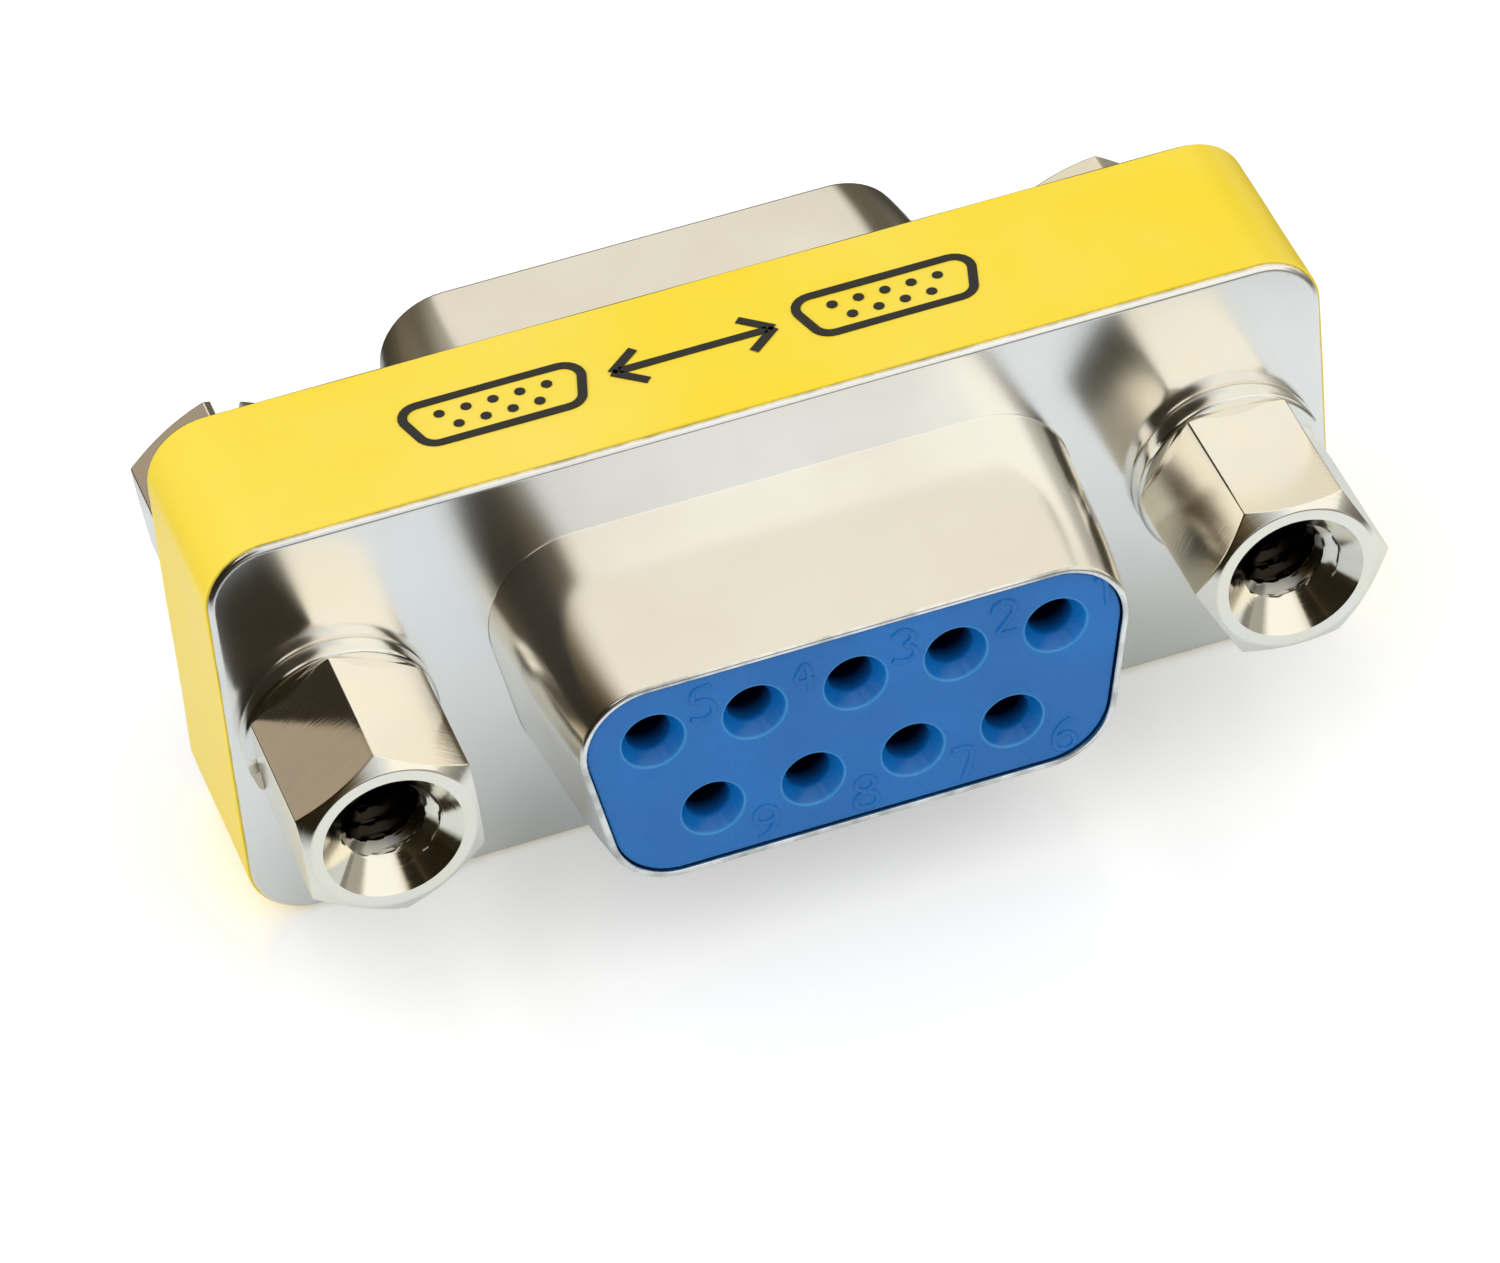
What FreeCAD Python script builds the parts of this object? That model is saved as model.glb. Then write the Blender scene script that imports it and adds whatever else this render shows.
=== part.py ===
import FreeCAD, Part
import math
import os

# Nine-way D connector gender changer: two socket connectors back to back.
# Millimetres. +Z up, +X to the right seen from the front, the front socket faces -Y.
# The origin is under the middle of the body, on the face that it rests on.

V = FreeCAD.Vector

# Contacts
pitch = 2.77
row_gap = 2.84
wide_row = 5
narrow_row = 4

# Steel shells: the nose goes round the contacts, and the flange reaches past the nose
nose_side_margin = 2.625
nose_top_margin = 2.53
flange_side_step = 7.24
flange_top_step = 2.325
flange_corner_r = 1.7
flange_edge_r = 0.15
body_depth = 5.86
sheet = 0.38
nose_slope_deg = 10.0
nose_corner_r = 2.6
nose_reach = 5.95
nose_taper = 0.62
nose_sheet = 0.18
nose_foot_bevel = 0.1
nose_rim_bevel = 0.05

# Label
label_t = 0.1
label_margin = 0.17
label_seam = 0.3
label_seam_x = -5.0

# Insulators
face_recess = 0.1
moulding_gap = 0.04
collar_side_gap = 0.395
collar_top_gap = 0.595
collar_r = 1.0
collar_t = 1.35
post_r = 0.7
post_inset = 1.1
sink_r = 0.875
sink_depth = 0.45
throat_r = 0.6
throat_end = 1.8

# Socket contacts
tube_r = 0.74
tube_bore_r = 0.5
tube_bore_depth = 4.1
slit_w = 0.24
slit_depth = 3.4
contact_play = 0.05
tail_w = 0.8
tail_t = 0.3

# Board between the two sets of contacts
board_side_step = 0.4
board_top_step = 0.2
board_t = 1.0
board_corner_r = 0.8

# Jack standoffs
screw_inset = 2.91
hex_flats = 4.76
hex_len = 4.52
hex_end_land_r = 2.24
hex_end_bevel = 0.28
hex_seat_land_r = 2.4
hex_seat_bevel = 0.15
thread_major_r = 1.42
thread_minor_r = 1.1
mouth_r = 1.91
bore_depth = 3.4
stud_tip_gap = 0.7
stud_point = 0.3
stud_hole_play = 0.13
slot_w = 0.9
slot_depth = 0.8

# Split lock washers
washer_r = 2.7
washer_hole_r = 1.55
washer_t = 0.6
washer_gap = 1.15
washer_cut_deg = 20.0

# Threaded sleeves inside the body
sleeve_r = 2.1
sleeve_thread_play = 0.02
sleeve_bevel = 0.25

# How each standoff happens to be turned: angle of one hex corner, washer gap, slot
corner_deg = {"front_left": 33.0, "front_right": 57.0, "rear_left": 35.0, "rear_right": 20.0}
gap_deg = {"front_left": 190.0, "front_right": 7.0, "rear_left": 250.0, "rear_right": 120.0}
slot_deg = {"rear_left": 81.0, "rear_right": 28.0}

# Worked out from the above
nose_w = (wide_row - 1) * pitch + 2 * nose_side_margin
nose_h = row_gap + 2 * nose_top_margin
flange_w = nose_w + 2 * flange_side_step
flange_h = nose_h + 2 * flange_top_step
centre_z = flange_h / 2 + label_t
plate_y = body_depth / 2
inner_y = plate_y - sheet
nose_y = plate_y + nose_reach
face_y = nose_y - face_recess
board_y = board_t / 2
inside_w = flange_w - 2 * sheet
inside_h = flange_h - 2 * sheet
screw_x = flange_w / 2 - screw_inset
collar_w = 2 * (screw_x - sleeve_r - collar_side_gap)
collar_h = inside_h - 2 * collar_top_gap
collar_back = collar_t - inner_y
board_w = collar_w - 2 * board_side_step
board_h = collar_h - 2 * board_top_step
hex_corner_r = hex_flats / 2 / math.cos(math.pi / 6)
stud_hole_r = thread_major_r + stud_hole_play
slope = math.radians(nose_slope_deg)


def point(x, y, z):
    """Place a point given from the middle of the flange."""
    return V(x, y, z + centre_z)


def nose_face(inset, y):
    """D outline of the nose, moved inwards by inset, in the plane at y."""
    reach_z = nose_h / 2 - nose_corner_r
    arc_r = nose_corner_r - inset
    top_x = nose_w / 2 - nose_corner_r
    low_x = top_x - 2 * reach_z * math.tan(slope)

    def arc(side, cx, cz, first, last):
        ends = []
        for deg in (first, (first + last) / 2, last):
            a = math.radians(deg)
            ends.append(point(side * (cx + arc_r * math.cos(a)), y, cz + arc_r * math.sin(a)))
        return ends

    tilt = nose_slope_deg
    corners = [
        arc(1, top_x, reach_z, 90, -tilt),
        arc(1, low_x, -reach_z, -tilt, -90),
        arc(-1, low_x, -reach_z, -90, -tilt),
        arc(-1, top_x, reach_z, -tilt, 90),
    ]
    edges = []
    for i, corner in enumerate(corners):
        edges.append(Part.Arc(*corner).toShape())
        edges.append(Part.makeLine(corner[2], corners[(i + 1) % 4][0]))
    return Part.Face(Part.Wire(edges))


def round_rect_face(w, h, r, y):
    """Rectangle with rounded corners, in the plane at y."""
    edges = []
    quarter = [(w / 2 - r, h / 2 - r, 90), (w / 2 - r, r - h / 2, 0),
               (r - w / 2, r - h / 2, -90), (r - w / 2, h / 2 - r, -180)]
    arcs = []
    for cx, cz, first in quarter:
        ends = []
        for deg in (first, first - 45, first - 90):
            a = math.radians(deg)
            ends.append(point(cx + r * math.cos(a), y, cz + r * math.sin(a)))
        arcs.append(ends)
    for i, ends in enumerate(arcs):
        edges.append(Part.Arc(*ends).toShape())
        edges.append(Part.makeLine(ends[2], arcs[(i + 1) % 4][0]))
    return Part.Face(Part.Wire(edges))


def prism(face, depth):
    """Extrude a face along Y."""
    return face.extrude(V(0, depth, 0))


def edges_at(shape, y, half_w=None):
    """Edges lying in the plane at y, within half_w of the middle if that is given."""
    found = []
    for edge in shape.Edges:
        box = edge.BoundBox
        flat = abs(box.YMin - y) < 1e-4 and abs(box.YMax - y) < 1e-4
        near = half_w is None or max(abs(box.XMin), abs(box.XMax)) < half_w
        if flat and near:
            found.append(edge)
    return found


def turned(profile, x, z):
    """Revolve a closed (radius, y) profile about the line along Y through x, z."""
    points = [V(r, y, 0) for r, y in profile]
    points.append(points[0])
    solid = Part.Face(Part.makePolygon(points)).revolve(V(0, 0, 0), V(0, 1, 0), 360)
    solid.translate(point(x, 0, z))
    return solid


def turned_round(shape):
    """The same piece at the other end: half a turn about the upright axis."""
    other = shape.copy()
    other.rotate(V(0, 0, 0), V(0, 0, 1), 180)
    return other


def spin(shape, x, deg):
    """Turn a piece about the line along Y through x at mid height."""
    shape.rotate(point(x, 0, 0), V(0, -1, 0), deg)
    return shape


def contact_places():
    """Middle of each contact, numbered from the right of the wide row."""
    places = []
    for count, z in ((wide_row, row_gap / 2), (narrow_row, -row_gap / 2)):
        for i in range(count):
            places.append(((count - 1) / 2 * pitch - i * pitch, z))
    return places


def nose_block(inset, y_front, y_back):
    """D block with the nose's own taper, its sides inset from the outside of the nose."""
    ends = []
    for y in (y_front, y_back):
        narrowing = nose_taper * (-plate_y - y) / nose_reach
        ends.append(nose_face(inset + narrowing, y).OuterWire)
    return Part.makeLoft(ends, True, True)


def front_shell():
    """Drawn pan with the tapered D nose standing out of it, open at both ends."""
    pan = prism(round_rect_face(flange_w, flange_h, flange_corner_r, -plate_y), plate_y)
    pan = pan.makeFillet(flange_edge_r, edges_at(pan, -plate_y))
    nose = nose_block(0, -nose_y, -inner_y)
    nose = nose.makeChamfer(nose_rim_bevel, edges_at(nose, -nose_y))
    outer = pan.fuse(nose).removeSplitter()
    outer = outer.makeChamfer(nose_foot_bevel, edges_at(outer, -plate_y, nose_w / 2 + sheet))
    cavity = prism(round_rect_face(inside_w, inside_h, flange_corner_r - sheet, -inner_y), inner_y)
    hollow = nose_block(nose_sheet, -nose_y - sheet, -inner_y + sheet)
    holes = []
    for side in (-1, 1):
        place = point(side * screw_x, -plate_y, 0)
        holes.append(Part.makeCylinder(stud_hole_r, sheet, place, V(0, 1, 0)))
    return outer.cut([cavity, hollow] + holes)


def label_band():
    """Vinyl strip wrapped round the joint of the two pans, its ends nearly meeting below."""
    y = label_margin - plate_y
    length = body_depth - 2 * label_margin
    outside = round_rect_face(flange_w + 2 * label_t, flange_h + 2 * label_t,
                              flange_corner_r + label_t, y)
    inside = round_rect_face(flange_w, flange_h, flange_corner_r, y)
    band = prism(outside, length).cut(prism(inside, length))
    seam = Part.makeBox(label_seam, length, 2 * label_t, V(label_seam_x, y, -label_t / 2))
    return band.cut(seam)


def front_insulator():
    """Moulded block: body inside the nose, collar behind the plate, four posts to the board."""
    body = nose_block(nose_sheet + moulding_gap, -face_y, -inner_y)
    collar = prism(round_rect_face(collar_w, collar_h, collar_r, -inner_y), collar_t)
    block = body.fuse(collar)
    post_len = -collar_back - board_y
    for sx in (-1, 1):
        for sz in (-1, 1):
            place = point(sx * (collar_w / 2 - post_inset), -board_y - post_len,
                          sz * (collar_h / 2 - post_inset))
            block = block.fuse(Part.makeCylinder(post_r, post_len, place, V(0, 1, 0)))
    block = block.removeSplitter()
    bore_r = tube_r + contact_play
    holes = []
    for x, z in contact_places():
        holes.append(turned([(0, -face_y), (sink_r, -face_y), (throat_r, -face_y + sink_depth),
                             (throat_r, -face_y + throat_end), (bore_r, -face_y + throat_end),
                             (bore_r, collar_back), (0, collar_back)], x, z))
    return block.cut(holes)


def front_contact(x, z):
    """Formed socket: slit barrel seated on the shoulder of its bore, and a flat tail to the board."""
    mouth = -face_y + throat_end
    barrel = turned([(tube_bore_r, mouth), (tube_r, mouth), (tube_r, collar_back), (0, collar_back),
                     (0, mouth + tube_bore_depth), (tube_bore_r, mouth + tube_bore_depth)], x, z)
    slit = Part.makeBox(2 * tube_r, slit_depth, slit_w, point(x - tube_r, mouth, z - slit_w / 2))
    tail = Part.makeBox(tail_w, -board_y - collar_back, tail_t,
                        point(x - tail_w / 2, collar_back, z - tail_t / 2))
    return barrel.cut(slit).fuse(tail)


def cross_board():
    """Small circuit board that crosses the nine circuits over between the two ends."""
    return prism(round_rect_face(board_w, board_h, board_corner_r, -board_y), board_t)


def sleeve(x):
    """Internally threaded sleeve that takes the studs of a front and a rear standoff."""
    bore = thread_major_r + sleeve_thread_play
    return turned([(bore + sleeve_bevel, -inner_y), (sleeve_r, -inner_y), (sleeve_r, inner_y),
                   (bore + sleeve_bevel, inner_y), (bore, inner_y - sleeve_bevel),
                   (bore, sleeve_bevel - inner_y)], x, 0)


def standoff(x, corner, slot=None):
    """Hexagonal jack standoff with a countersunk threaded bore in front and a stud behind."""
    seat = -plate_y - washer_t
    end = seat - hex_len
    corners = []
    for i in range(7):
        a = math.radians(60 * i)
        corners.append(point(x + hex_corner_r * math.cos(a), end, hex_corner_r * math.sin(a)))
    bar = Part.Face(Part.makePolygon(corners)).extrude(V(0, hex_len, 0))
    envelope = turned([(0, end), (hex_end_land_r, end), (hex_corner_r, end + hex_end_bevel),
                       (hex_corner_r, seat - hex_seat_bevel), (hex_seat_land_r, seat),
                       (0, seat)], x, 0)
    body = bar.common(envelope)
    tip = -stud_tip_gap / 2
    stud = turned([(0, seat), (thread_major_r, seat), (thread_major_r, tip - stud_point),
                   (thread_minor_r, tip), (0, tip)], x, 0)
    sink = mouth_r - thread_minor_r
    bore = turned([(0, end), (mouth_r, end), (thread_minor_r, end + sink),
                   (thread_minor_r, end + bore_depth), (0, end + bore_depth)], x, 0)
    piece = body.fuse(stud).removeSplitter().cut(bore)
    spin(piece, x, corner)
    if slot is not None:
        cutter = Part.makeBox(4 * hex_corner_r, slot_depth, slot_w,
                              point(x - 2 * hex_corner_r, end, -slot_w / 2))
        piece = piece.cut(spin(cutter, x, slot))
    return piece


def lock_washer(x, gap):
    """Split spring washer pulled flat, its ends cut on the slant."""
    back = -plate_y
    front = back - washer_t
    ring = turned([(washer_hole_r, front), (washer_r, front), (washer_r, back),
                   (washer_hole_r, back)], x, 0)
    lean = washer_t * math.tan(math.radians(washer_cut_deg))
    half = washer_gap / 2
    cut = [point(x, front, lean - half), point(x, front, lean + half),
           point(x, back, half - lean), point(x, back, -half - lean), point(x, front, lean - half)]
    cutter = Part.Face(Part.makePolygon(cut)).extrude(V(2 * washer_r, 0, 0))
    return ring.cut(spin(cutter, x, gap))


def mirrored_deg(deg):
    """Angle seen from the front that becomes deg once the piece is turned end for end."""
    return 180.0 - deg


def save(shape, name):
    """Write one piece as its own file."""
    solid = shape.Solids[0]
    solid.exportStep("parts/" + name + ".step")


def main():
    os.makedirs("parts", exist_ok=True)
    shell = front_shell()
    save(shell, "front_shell")
    save(turned_round(shell), "rear_shell")
    save(label_band(), "label_band")
    insulator = front_insulator()
    save(insulator, "front_insulator")
    save(turned_round(insulator), "rear_insulator")
    for number, (x, z) in enumerate(contact_places(), 1):
        contact = front_contact(x, z)
        save(contact, "front_contact_%d" % number)
        save(turned_round(contact), "rear_contact_%d" % number)
    save(cross_board(), "cross_board")
    for side, name in ((-1, "left"), (1, "right")):
        save(sleeve(side * screw_x), name + "_sleeve")
        front = "front_" + name
        rear = "rear_" + name
        save(standoff(side * screw_x, corner_deg[front]), front + "_standoff")
        save(lock_washer(side * screw_x, gap_deg[front]), front + "_washer")
        nut = standoff(-side * screw_x, mirrored_deg(corner_deg[rear]), mirrored_deg(slot_deg[rear]))
        save(turned_round(nut), rear + "_standoff")
        ring = lock_washer(-side * screw_x, mirrored_deg(gap_deg[rear]))
        save(turned_round(ring), rear + "_washer")


main()
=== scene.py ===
from math import cos, pi, radians, sin, tan

import bmesh
import bpy
import numpy as np
from bpy.props import FloatProperty, FloatVectorProperty, PointerProperty
from bpy.types import Operator, Panel, PropertyGroup
from mathutils import Matrix, Vector
from mathutils.geometry import delaunay_2d_cdt


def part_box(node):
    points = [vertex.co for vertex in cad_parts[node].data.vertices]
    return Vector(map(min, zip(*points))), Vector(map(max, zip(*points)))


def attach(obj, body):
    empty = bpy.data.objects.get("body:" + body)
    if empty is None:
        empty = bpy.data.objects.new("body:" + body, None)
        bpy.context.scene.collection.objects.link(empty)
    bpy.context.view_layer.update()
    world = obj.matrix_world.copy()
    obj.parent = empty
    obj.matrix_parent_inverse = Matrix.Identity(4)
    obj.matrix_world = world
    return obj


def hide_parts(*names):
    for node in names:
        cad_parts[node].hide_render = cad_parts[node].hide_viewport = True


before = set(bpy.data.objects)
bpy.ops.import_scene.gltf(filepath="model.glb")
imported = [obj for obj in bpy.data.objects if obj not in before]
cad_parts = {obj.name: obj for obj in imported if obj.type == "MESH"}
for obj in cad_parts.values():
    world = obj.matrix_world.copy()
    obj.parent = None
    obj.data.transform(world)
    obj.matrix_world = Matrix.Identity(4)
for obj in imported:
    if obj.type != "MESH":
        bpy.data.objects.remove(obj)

bl_info = {
    "name": "D connector gender changer",
    "version": (1, 0, 0),
    "blender": (4, 5, 0),
    "location": "View3D > Sidebar > Changer",
    "description": "Builds the visible pieces of a D connector gender changer on its packed frame",
    "category": "Object",
}

# Metres. +Z up, +X to the right seen from the front, the front socket faces -Y.
MM = 0.001
MERGE = 2e-8
TINY = 1e-12
GUARD = 0.05 * MM
WHITE = (1.0, 1.0, 1.0, 1.0)


def span(node):
    """Lowest and highest corner of a solid's box."""
    return [np.array(corner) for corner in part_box(node)]


SHELL_LOW, SHELL_HIGH = span("front_shell")
LABEL_LOW, LABEL_HIGH = span("label_band")
WASHER_LOW, WASHER_HIGH = span("front_left_washer")
STANDOFF_LOW, STANDOFF_HIGH = span("front_left_standoff")
INSULATOR_LOW, INSULATOR_HIGH = span("front_insulator")
SLEEVE_LOW, SLEEVE_HIGH = span("right_sleeve")

CENTRE_Z = (SHELL_LOW[2] + SHELL_HIGH[2]) / 2
FLANGE_W = SHELL_HIGH[0] - SHELL_LOW[0]
FLANGE_H = SHELL_HIGH[2] - SHELL_LOW[2]
NOSE_Y = -SHELL_LOW[1]
PLATE_Y = -WASHER_HIGH[1]
SEAT_Y = -WASHER_LOW[1]
WASHER_R = (WASHER_HIGH[2] - WASHER_LOW[2]) / 2
END_Y = -STANDOFF_LOW[1]
FACE_Y = -INSULATOR_LOW[1]
STUD_TIP_Y = -STANDOFF_HIGH[1]
SCREW_X = (SLEEVE_LOW[0] + SLEEVE_HIGH[0]) / 2
INNER_Y = SLEEVE_HIGH[1]
SHEET = PLATE_Y - INNER_Y
BOARD_Y = -INSULATOR_HIGH[1]
LABEL_T = (LABEL_HIGH[0] - LABEL_LOW[0] - FLANGE_W) / 2
INK_TOP = LABEL_HIGH[2]
INK_LOW = INK_TOP - 0.04 * MM

# How each standoff happens to be turned, seen from the front: a hex corner, the washer's gap and
# the driver slot
CORNER_DEG = {"front_left": 33.0, "front_right": 57.0, "rear_left": 35.0, "rear_right": 20.0}
GAP_DEG = {"front_left": 190.0, "front_right": 7.0, "rear_left": 250.0, "rear_right": 120.0}
SLOT_DEG = {"rear_left": 81.0, "rear_right": 28.0}

# Edges that turn by more than this are drawn sharp: on moulded and sheet pieces, and on turned ones
SOFT_DEG = 50
TURNED_DEG = 38


def length(name, default, description):
    """A length that a user can change, in metres."""
    return FloatProperty(name=name, description=description, default=default * MM, min=0.0,
                         precision=5, subtype="DISTANCE", unit="LENGTH")


def slant(name, default, description):
    """An angle that a user can change, given in degrees."""
    return FloatProperty(name=name, description=description, default=radians(default),
                         subtype="ANGLE", unit="ROTATION")


def colour(name, default, description):
    """A colour that a user can change, given as it looks on a screen."""
    return FloatVectorProperty(name=name, description=description, default=linear(default),
                               min=0.0, max=1.0, size=3, subtype="COLOR")


def linear(screen):
    """Scene-linear values of a colour given in 0-255 screen values."""
    c = np.array(screen, float) / 255.0
    return tuple(np.where(c <= 0.04045, c / 12.92, ((c + 0.055) / 1.055) ** 2.4))


class ChangerSizes(PropertyGroup):
    nose_w: length("Nose width", 16.33, "Width of the D nose across its top")
    nose_h: length("Nose height", 7.9, "Height of the D nose")
    nose_slope: slant("Nose slope", 10, "Lean of the D nose's ends")
    nose_corner_r: length("Nose corner", 2.6, "Corner radius of the D nose")
    nose_taper: length("Nose taper", 0.62, "How far each side of the nose leans in over its length")
    nose_swell: length("Nose swell", 0.1, "Most that the ends stand outside their straight taper")
    nose_sheet: length("Nose sheet", 0.18, "Thickness of the steel of the nose")
    rim_r: length("Nose rim", 0.09, "Radius along the open rim of the nose")
    foot_r: length("Nose foot", 0.03, "Radius where the nose rises from the flange")
    flange_corner_r: length("Flange corner", 1.7, "Corner radius of the flange")
    flange_edge_r: length("Flange edge", 0.15, "Radius along the front edge of the flange")
    stud_hole_r: length("Stud hole", 1.55, "Radius of the hole that a stud passes")
    pitch: length("Contact pitch", 2.77, "Distance between neighbouring contacts of a row")
    row_gap: length("Row gap", 2.84, "Distance between the two rows of contacts")
    sink_r: length("Countersink", 0.875, "Radius of a contact hole at the face")
    sink_depth: length("Countersink depth", 0.45, "Depth of the cone of a contact hole")
    throat_r: length("Throat", 0.6, "Radius of a contact hole below its cone")
    throat_end: length("Throat end", 1.8, "Depth at which the bore for the contact begins")
    bore_r: length("Contact bore", 0.79, "Radius of the bore round a contact")
    collar_w: length("Collar width", 19.99, "Width of the insulator behind the flange")
    collar_h: length("Collar height", 10.6, "Height of the insulator behind the flange")
    collar_t: length("Collar thickness", 1.35, "Depth of the insulator behind the flange")
    numeral_h: length("Numeral height", 1.1, "Height of the numbers beside the contact holes")
    numeral_rise: length("Numeral rise", 0.05, "How far the numbers stand proud of the face")
    label_seam_x: length("Label seam", 5.0, "Place of the label's seam left of the middle below")
    label_seam: length("Label seam gap", 0.3, "Gap between the ends of the label")
    hex_flats: length("Hex across flats", 4.76, "Width of a standoff across its flats")
    hex_edge_r: length("Hex edge", 0.07, "Radius along the hex corners")
    hex_land_r: length("Hex end land", 2.24, "Radius of the flat ring on the hex end")
    hex_bevel: length("Hex bevel", 0.28, "Depth of the turned bevel on the hex end")
    seat_land_r: length("Hex seat land", 2.4, "Radius of the flat on the hex's seat")
    seat_bevel: length("Hex seat bevel", 0.15, "Depth of the turned bevel on the hex's seat")
    thread_major_r: length("Thread outside", 1.42, "Largest radius of the jack thread")
    thread_minor_r: length("Thread inside", 1.1, "Smallest radius of the jack thread")
    thread_pitch: length("Thread pitch", 0.635, "Advance of the thread in one turn")
    mouth_r: length("Bore mouth", 1.91, "Radius of the cone at the mouth of a standoff's bore")
    bore_depth: length("Bore depth", 3.4, "Depth of a standoff's threaded bore")
    slot_w: length("Slot width", 0.9, "Width of the driver slot in a rear standoff")
    slot_depth: length("Slot depth", 0.8, "Depth of the driver slot in a rear standoff")
    washer_hole_r: length("Washer hole", 1.55, "Inner radius of a lock washer")
    washer_gap: length("Washer gap", 1.15, "Gap between the ends of a split washer")
    washer_lean: slant("Washer cut", 20, "Slant of the washer's cut ends")
    washer_edge_r: length("Washer edge", 0.12, "Radius along the edges of a washer")


class ChangerColours(PropertyGroup):
    nickel: colour("Nickel", (253, 250, 244), "Plating of the shells")
    nickel_shade: colour("Nickel shade", (249, 245, 238), "Duller patches of the plating")
    # Grey mottling along the edge of the flange and the open rim of the nose
    edge_grey: colour("Edge grey", (118, 118, 112), "Pits along the edges of the shells")
    turned_nickel: colour("Turned nickel", (252, 245, 228), "Plating of the standoffs")
    # Painted shade: darkens the colour of the thread deep in the bores, which lie in shade
    painted_bore_shade: colour("Thread shade", (44, 38, 32), "Oily thread deep in the bores")
    washer: colour("Washer", (240, 237, 230), "Plating of the lock washers")
    face_blue: colour("Insulator blue", (10, 102, 176), "Moulded insulator")
    # Painted highlight: a pale ring along the rim of each countersink, where its edge catches the
    # light
    painted_countersink_highlight: colour("Insulator pale", (70, 158, 214), "Burnished line round each countersink")
    face_deep: colour("Insulator deep", (2, 12, 44), "Shade down the bores of the insulator")
    label_yellow: colour("Label yellow", (244, 214, 16), "Vinyl label")
    print_black: colour("Print", (14, 12, 10), "Printed signs on the label")
    brass: colour("Brass", (214, 178, 96), "Contacts and sleeves")
    board: colour("Board", (36, 92, 58), "Circuit board between the contacts")
    floor: colour("Floor", (246, 246, 246), "Table that the part stands on")
    floor_mirrored: colour("Floor mirrored", (220, 228, 234), "Mirrored below the part")
    room_back: colour("Room behind", (236, 231, 216), "Mirrored high behind the part")
    room_low: colour("Room low behind", (88, 82, 66), "Mirrored low behind the part")
    room_front: colour("Room in front", (255, 255, 250), "Mirrored high before the part")
    room_cool: colour("Room low in front", (226, 236, 249), "Mirrored low before the part")
    room_dark: colour("Screen", (27, 20, 3), "Mirrored in the middle of the dark screen")
    room_umber: colour("Screen edge", (124, 110, 82), "Mirrored along the edge of the screen")
    room_pane: colour("Pane", (166, 154, 138), "Mirrored low behind on the left")


def sizes():
    return bpy.context.scene.changer_sizes


def tint(name):
    """One of the panel's colours with full opacity."""
    return (*getattr(bpy.context.scene.changer_colours, name), 1.0)


# Outlines and surfaces

def around(angle):
    """Unit vectors (cos, sin) at these angles."""
    return np.stack([np.cos(angle), np.sin(angle)], -1)


def sideways(step):
    """Unit vectors a quarter turn from these steps of a path."""
    step = step / np.maximum(np.linalg.norm(step, axis=1, keepdims=True), TINY)
    return np.stack([-step[:, 1], step[:, 0]], -1)


def arcs_outline(centres, first_deg, last_deg, radius, arc_steps, line_steps):
    """Closed outline of arcs joined by straight lines: centre + radius (cos a, sin a) on each arc,
    then points evenly along the line to the next arc's start."""
    t = np.linspace(0.0, 1.0, arc_steps + 1)
    angle = np.radians(first_deg[:, None] * (1 - t) + last_deg[:, None] * t)
    arcs = centres[:, None, :] + radius * around(angle)
    u = np.linspace(0.0, 1.0, line_steps + 1)[1:-1][None, :, None]
    lines = arcs[:, -1:, :] * (1 - u) + np.roll(arcs, -1, axis=0)[:, :1, :] * u
    return np.concatenate([arcs, lines], axis=1).reshape(-1, 2)


def nose_outline(inset):
    """D outline moved inwards by inset: a trapezium with leaning ends and four equal corners."""
    s = sizes()
    reach = s.nose_h / 2 - s.nose_corner_r
    top = s.nose_w / 2 - s.nose_corner_r
    low = top - 2 * reach * tan(s.nose_slope)
    tilt = np.degrees(s.nose_slope)
    centres = np.array([(top, reach), (low, -reach), (-low, -reach), (-top, reach)])
    first = np.array([90.0, -tilt, -90.0, tilt - 180.0])
    last = np.array([-tilt, -90.0, tilt - 180.0, -270.0])
    return arcs_outline(centres, first, last, s.nose_corner_r - inset, 14, 10)


def nose_loop(inset, y):
    """D outline at a depth, its inset growing evenly from the plate to the open end of the nose."""
    lean = sizes().nose_taper * (-PLATE_Y - y) / (NOSE_Y - PLATE_Y)
    return at_depth(nose_outline(inset + lean), y)


def box_outline(w, h, r, arc_steps=10, line_steps=12):
    """Rectangle with rounded corners."""
    x, z = w / 2 - r, h / 2 - r
    centres = np.array([(x, z), (x, -z), (-x, -z), (-x, z)])
    first = np.array([90.0, 0.0, -90.0, -180.0])
    return arcs_outline(centres, first, first - 90.0, r, arc_steps, line_steps)


def circle_outline(radius, count=72):
    """Circle about the middle."""
    return radius * around(np.linspace(0.0, -2 * pi, count, endpoint=False))


def at_depth(places, y, x=0.0, z=0.0):
    """Flat points (a, b) placed at (x + a, y, centre + z + b)."""
    return np.stack([places[..., 0] + x, np.broadcast_to(y, places.shape[:-1]),
                     places[..., 1] + z + CENTRE_Z], -1)


def softened(rows, widths, steps=4):
    """Round the corner rows of a stack of outlines: each is replaced by the quadratic curve that
    leaves the last side and joins the next at the given width, with a guard row beyond each end."""
    t = np.linspace(0.0, 1.0, steps + 1)[:, None, None]
    stack = [rows[:1]]
    for before, corner, after, width in zip(rows[:-2], rows[1:-1], rows[2:], widths[1:-1]):
        if width == 0.0:
            stack.append(corner[None])
            continue
        ends = []
        for other in (before, after):
            way = other - corner
            far = np.linalg.norm(way, axis=1, keepdims=True)
            way = way / np.maximum(far, TINY)
            ends.append((corner + way * np.minimum(width, 0.4 * far),
                         corner + way * np.minimum(1.5 * width, 0.47 * far)))
        curve = (1 - t) ** 2 * ends[0][0] + 2 * t * (1 - t) * corner + t ** 2 * ends[1][0]
        stack += [ends[0][1][None], curve, ends[1][1][None]]
    stack.append(rows[-1:])
    return np.concatenate(stack)


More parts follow.
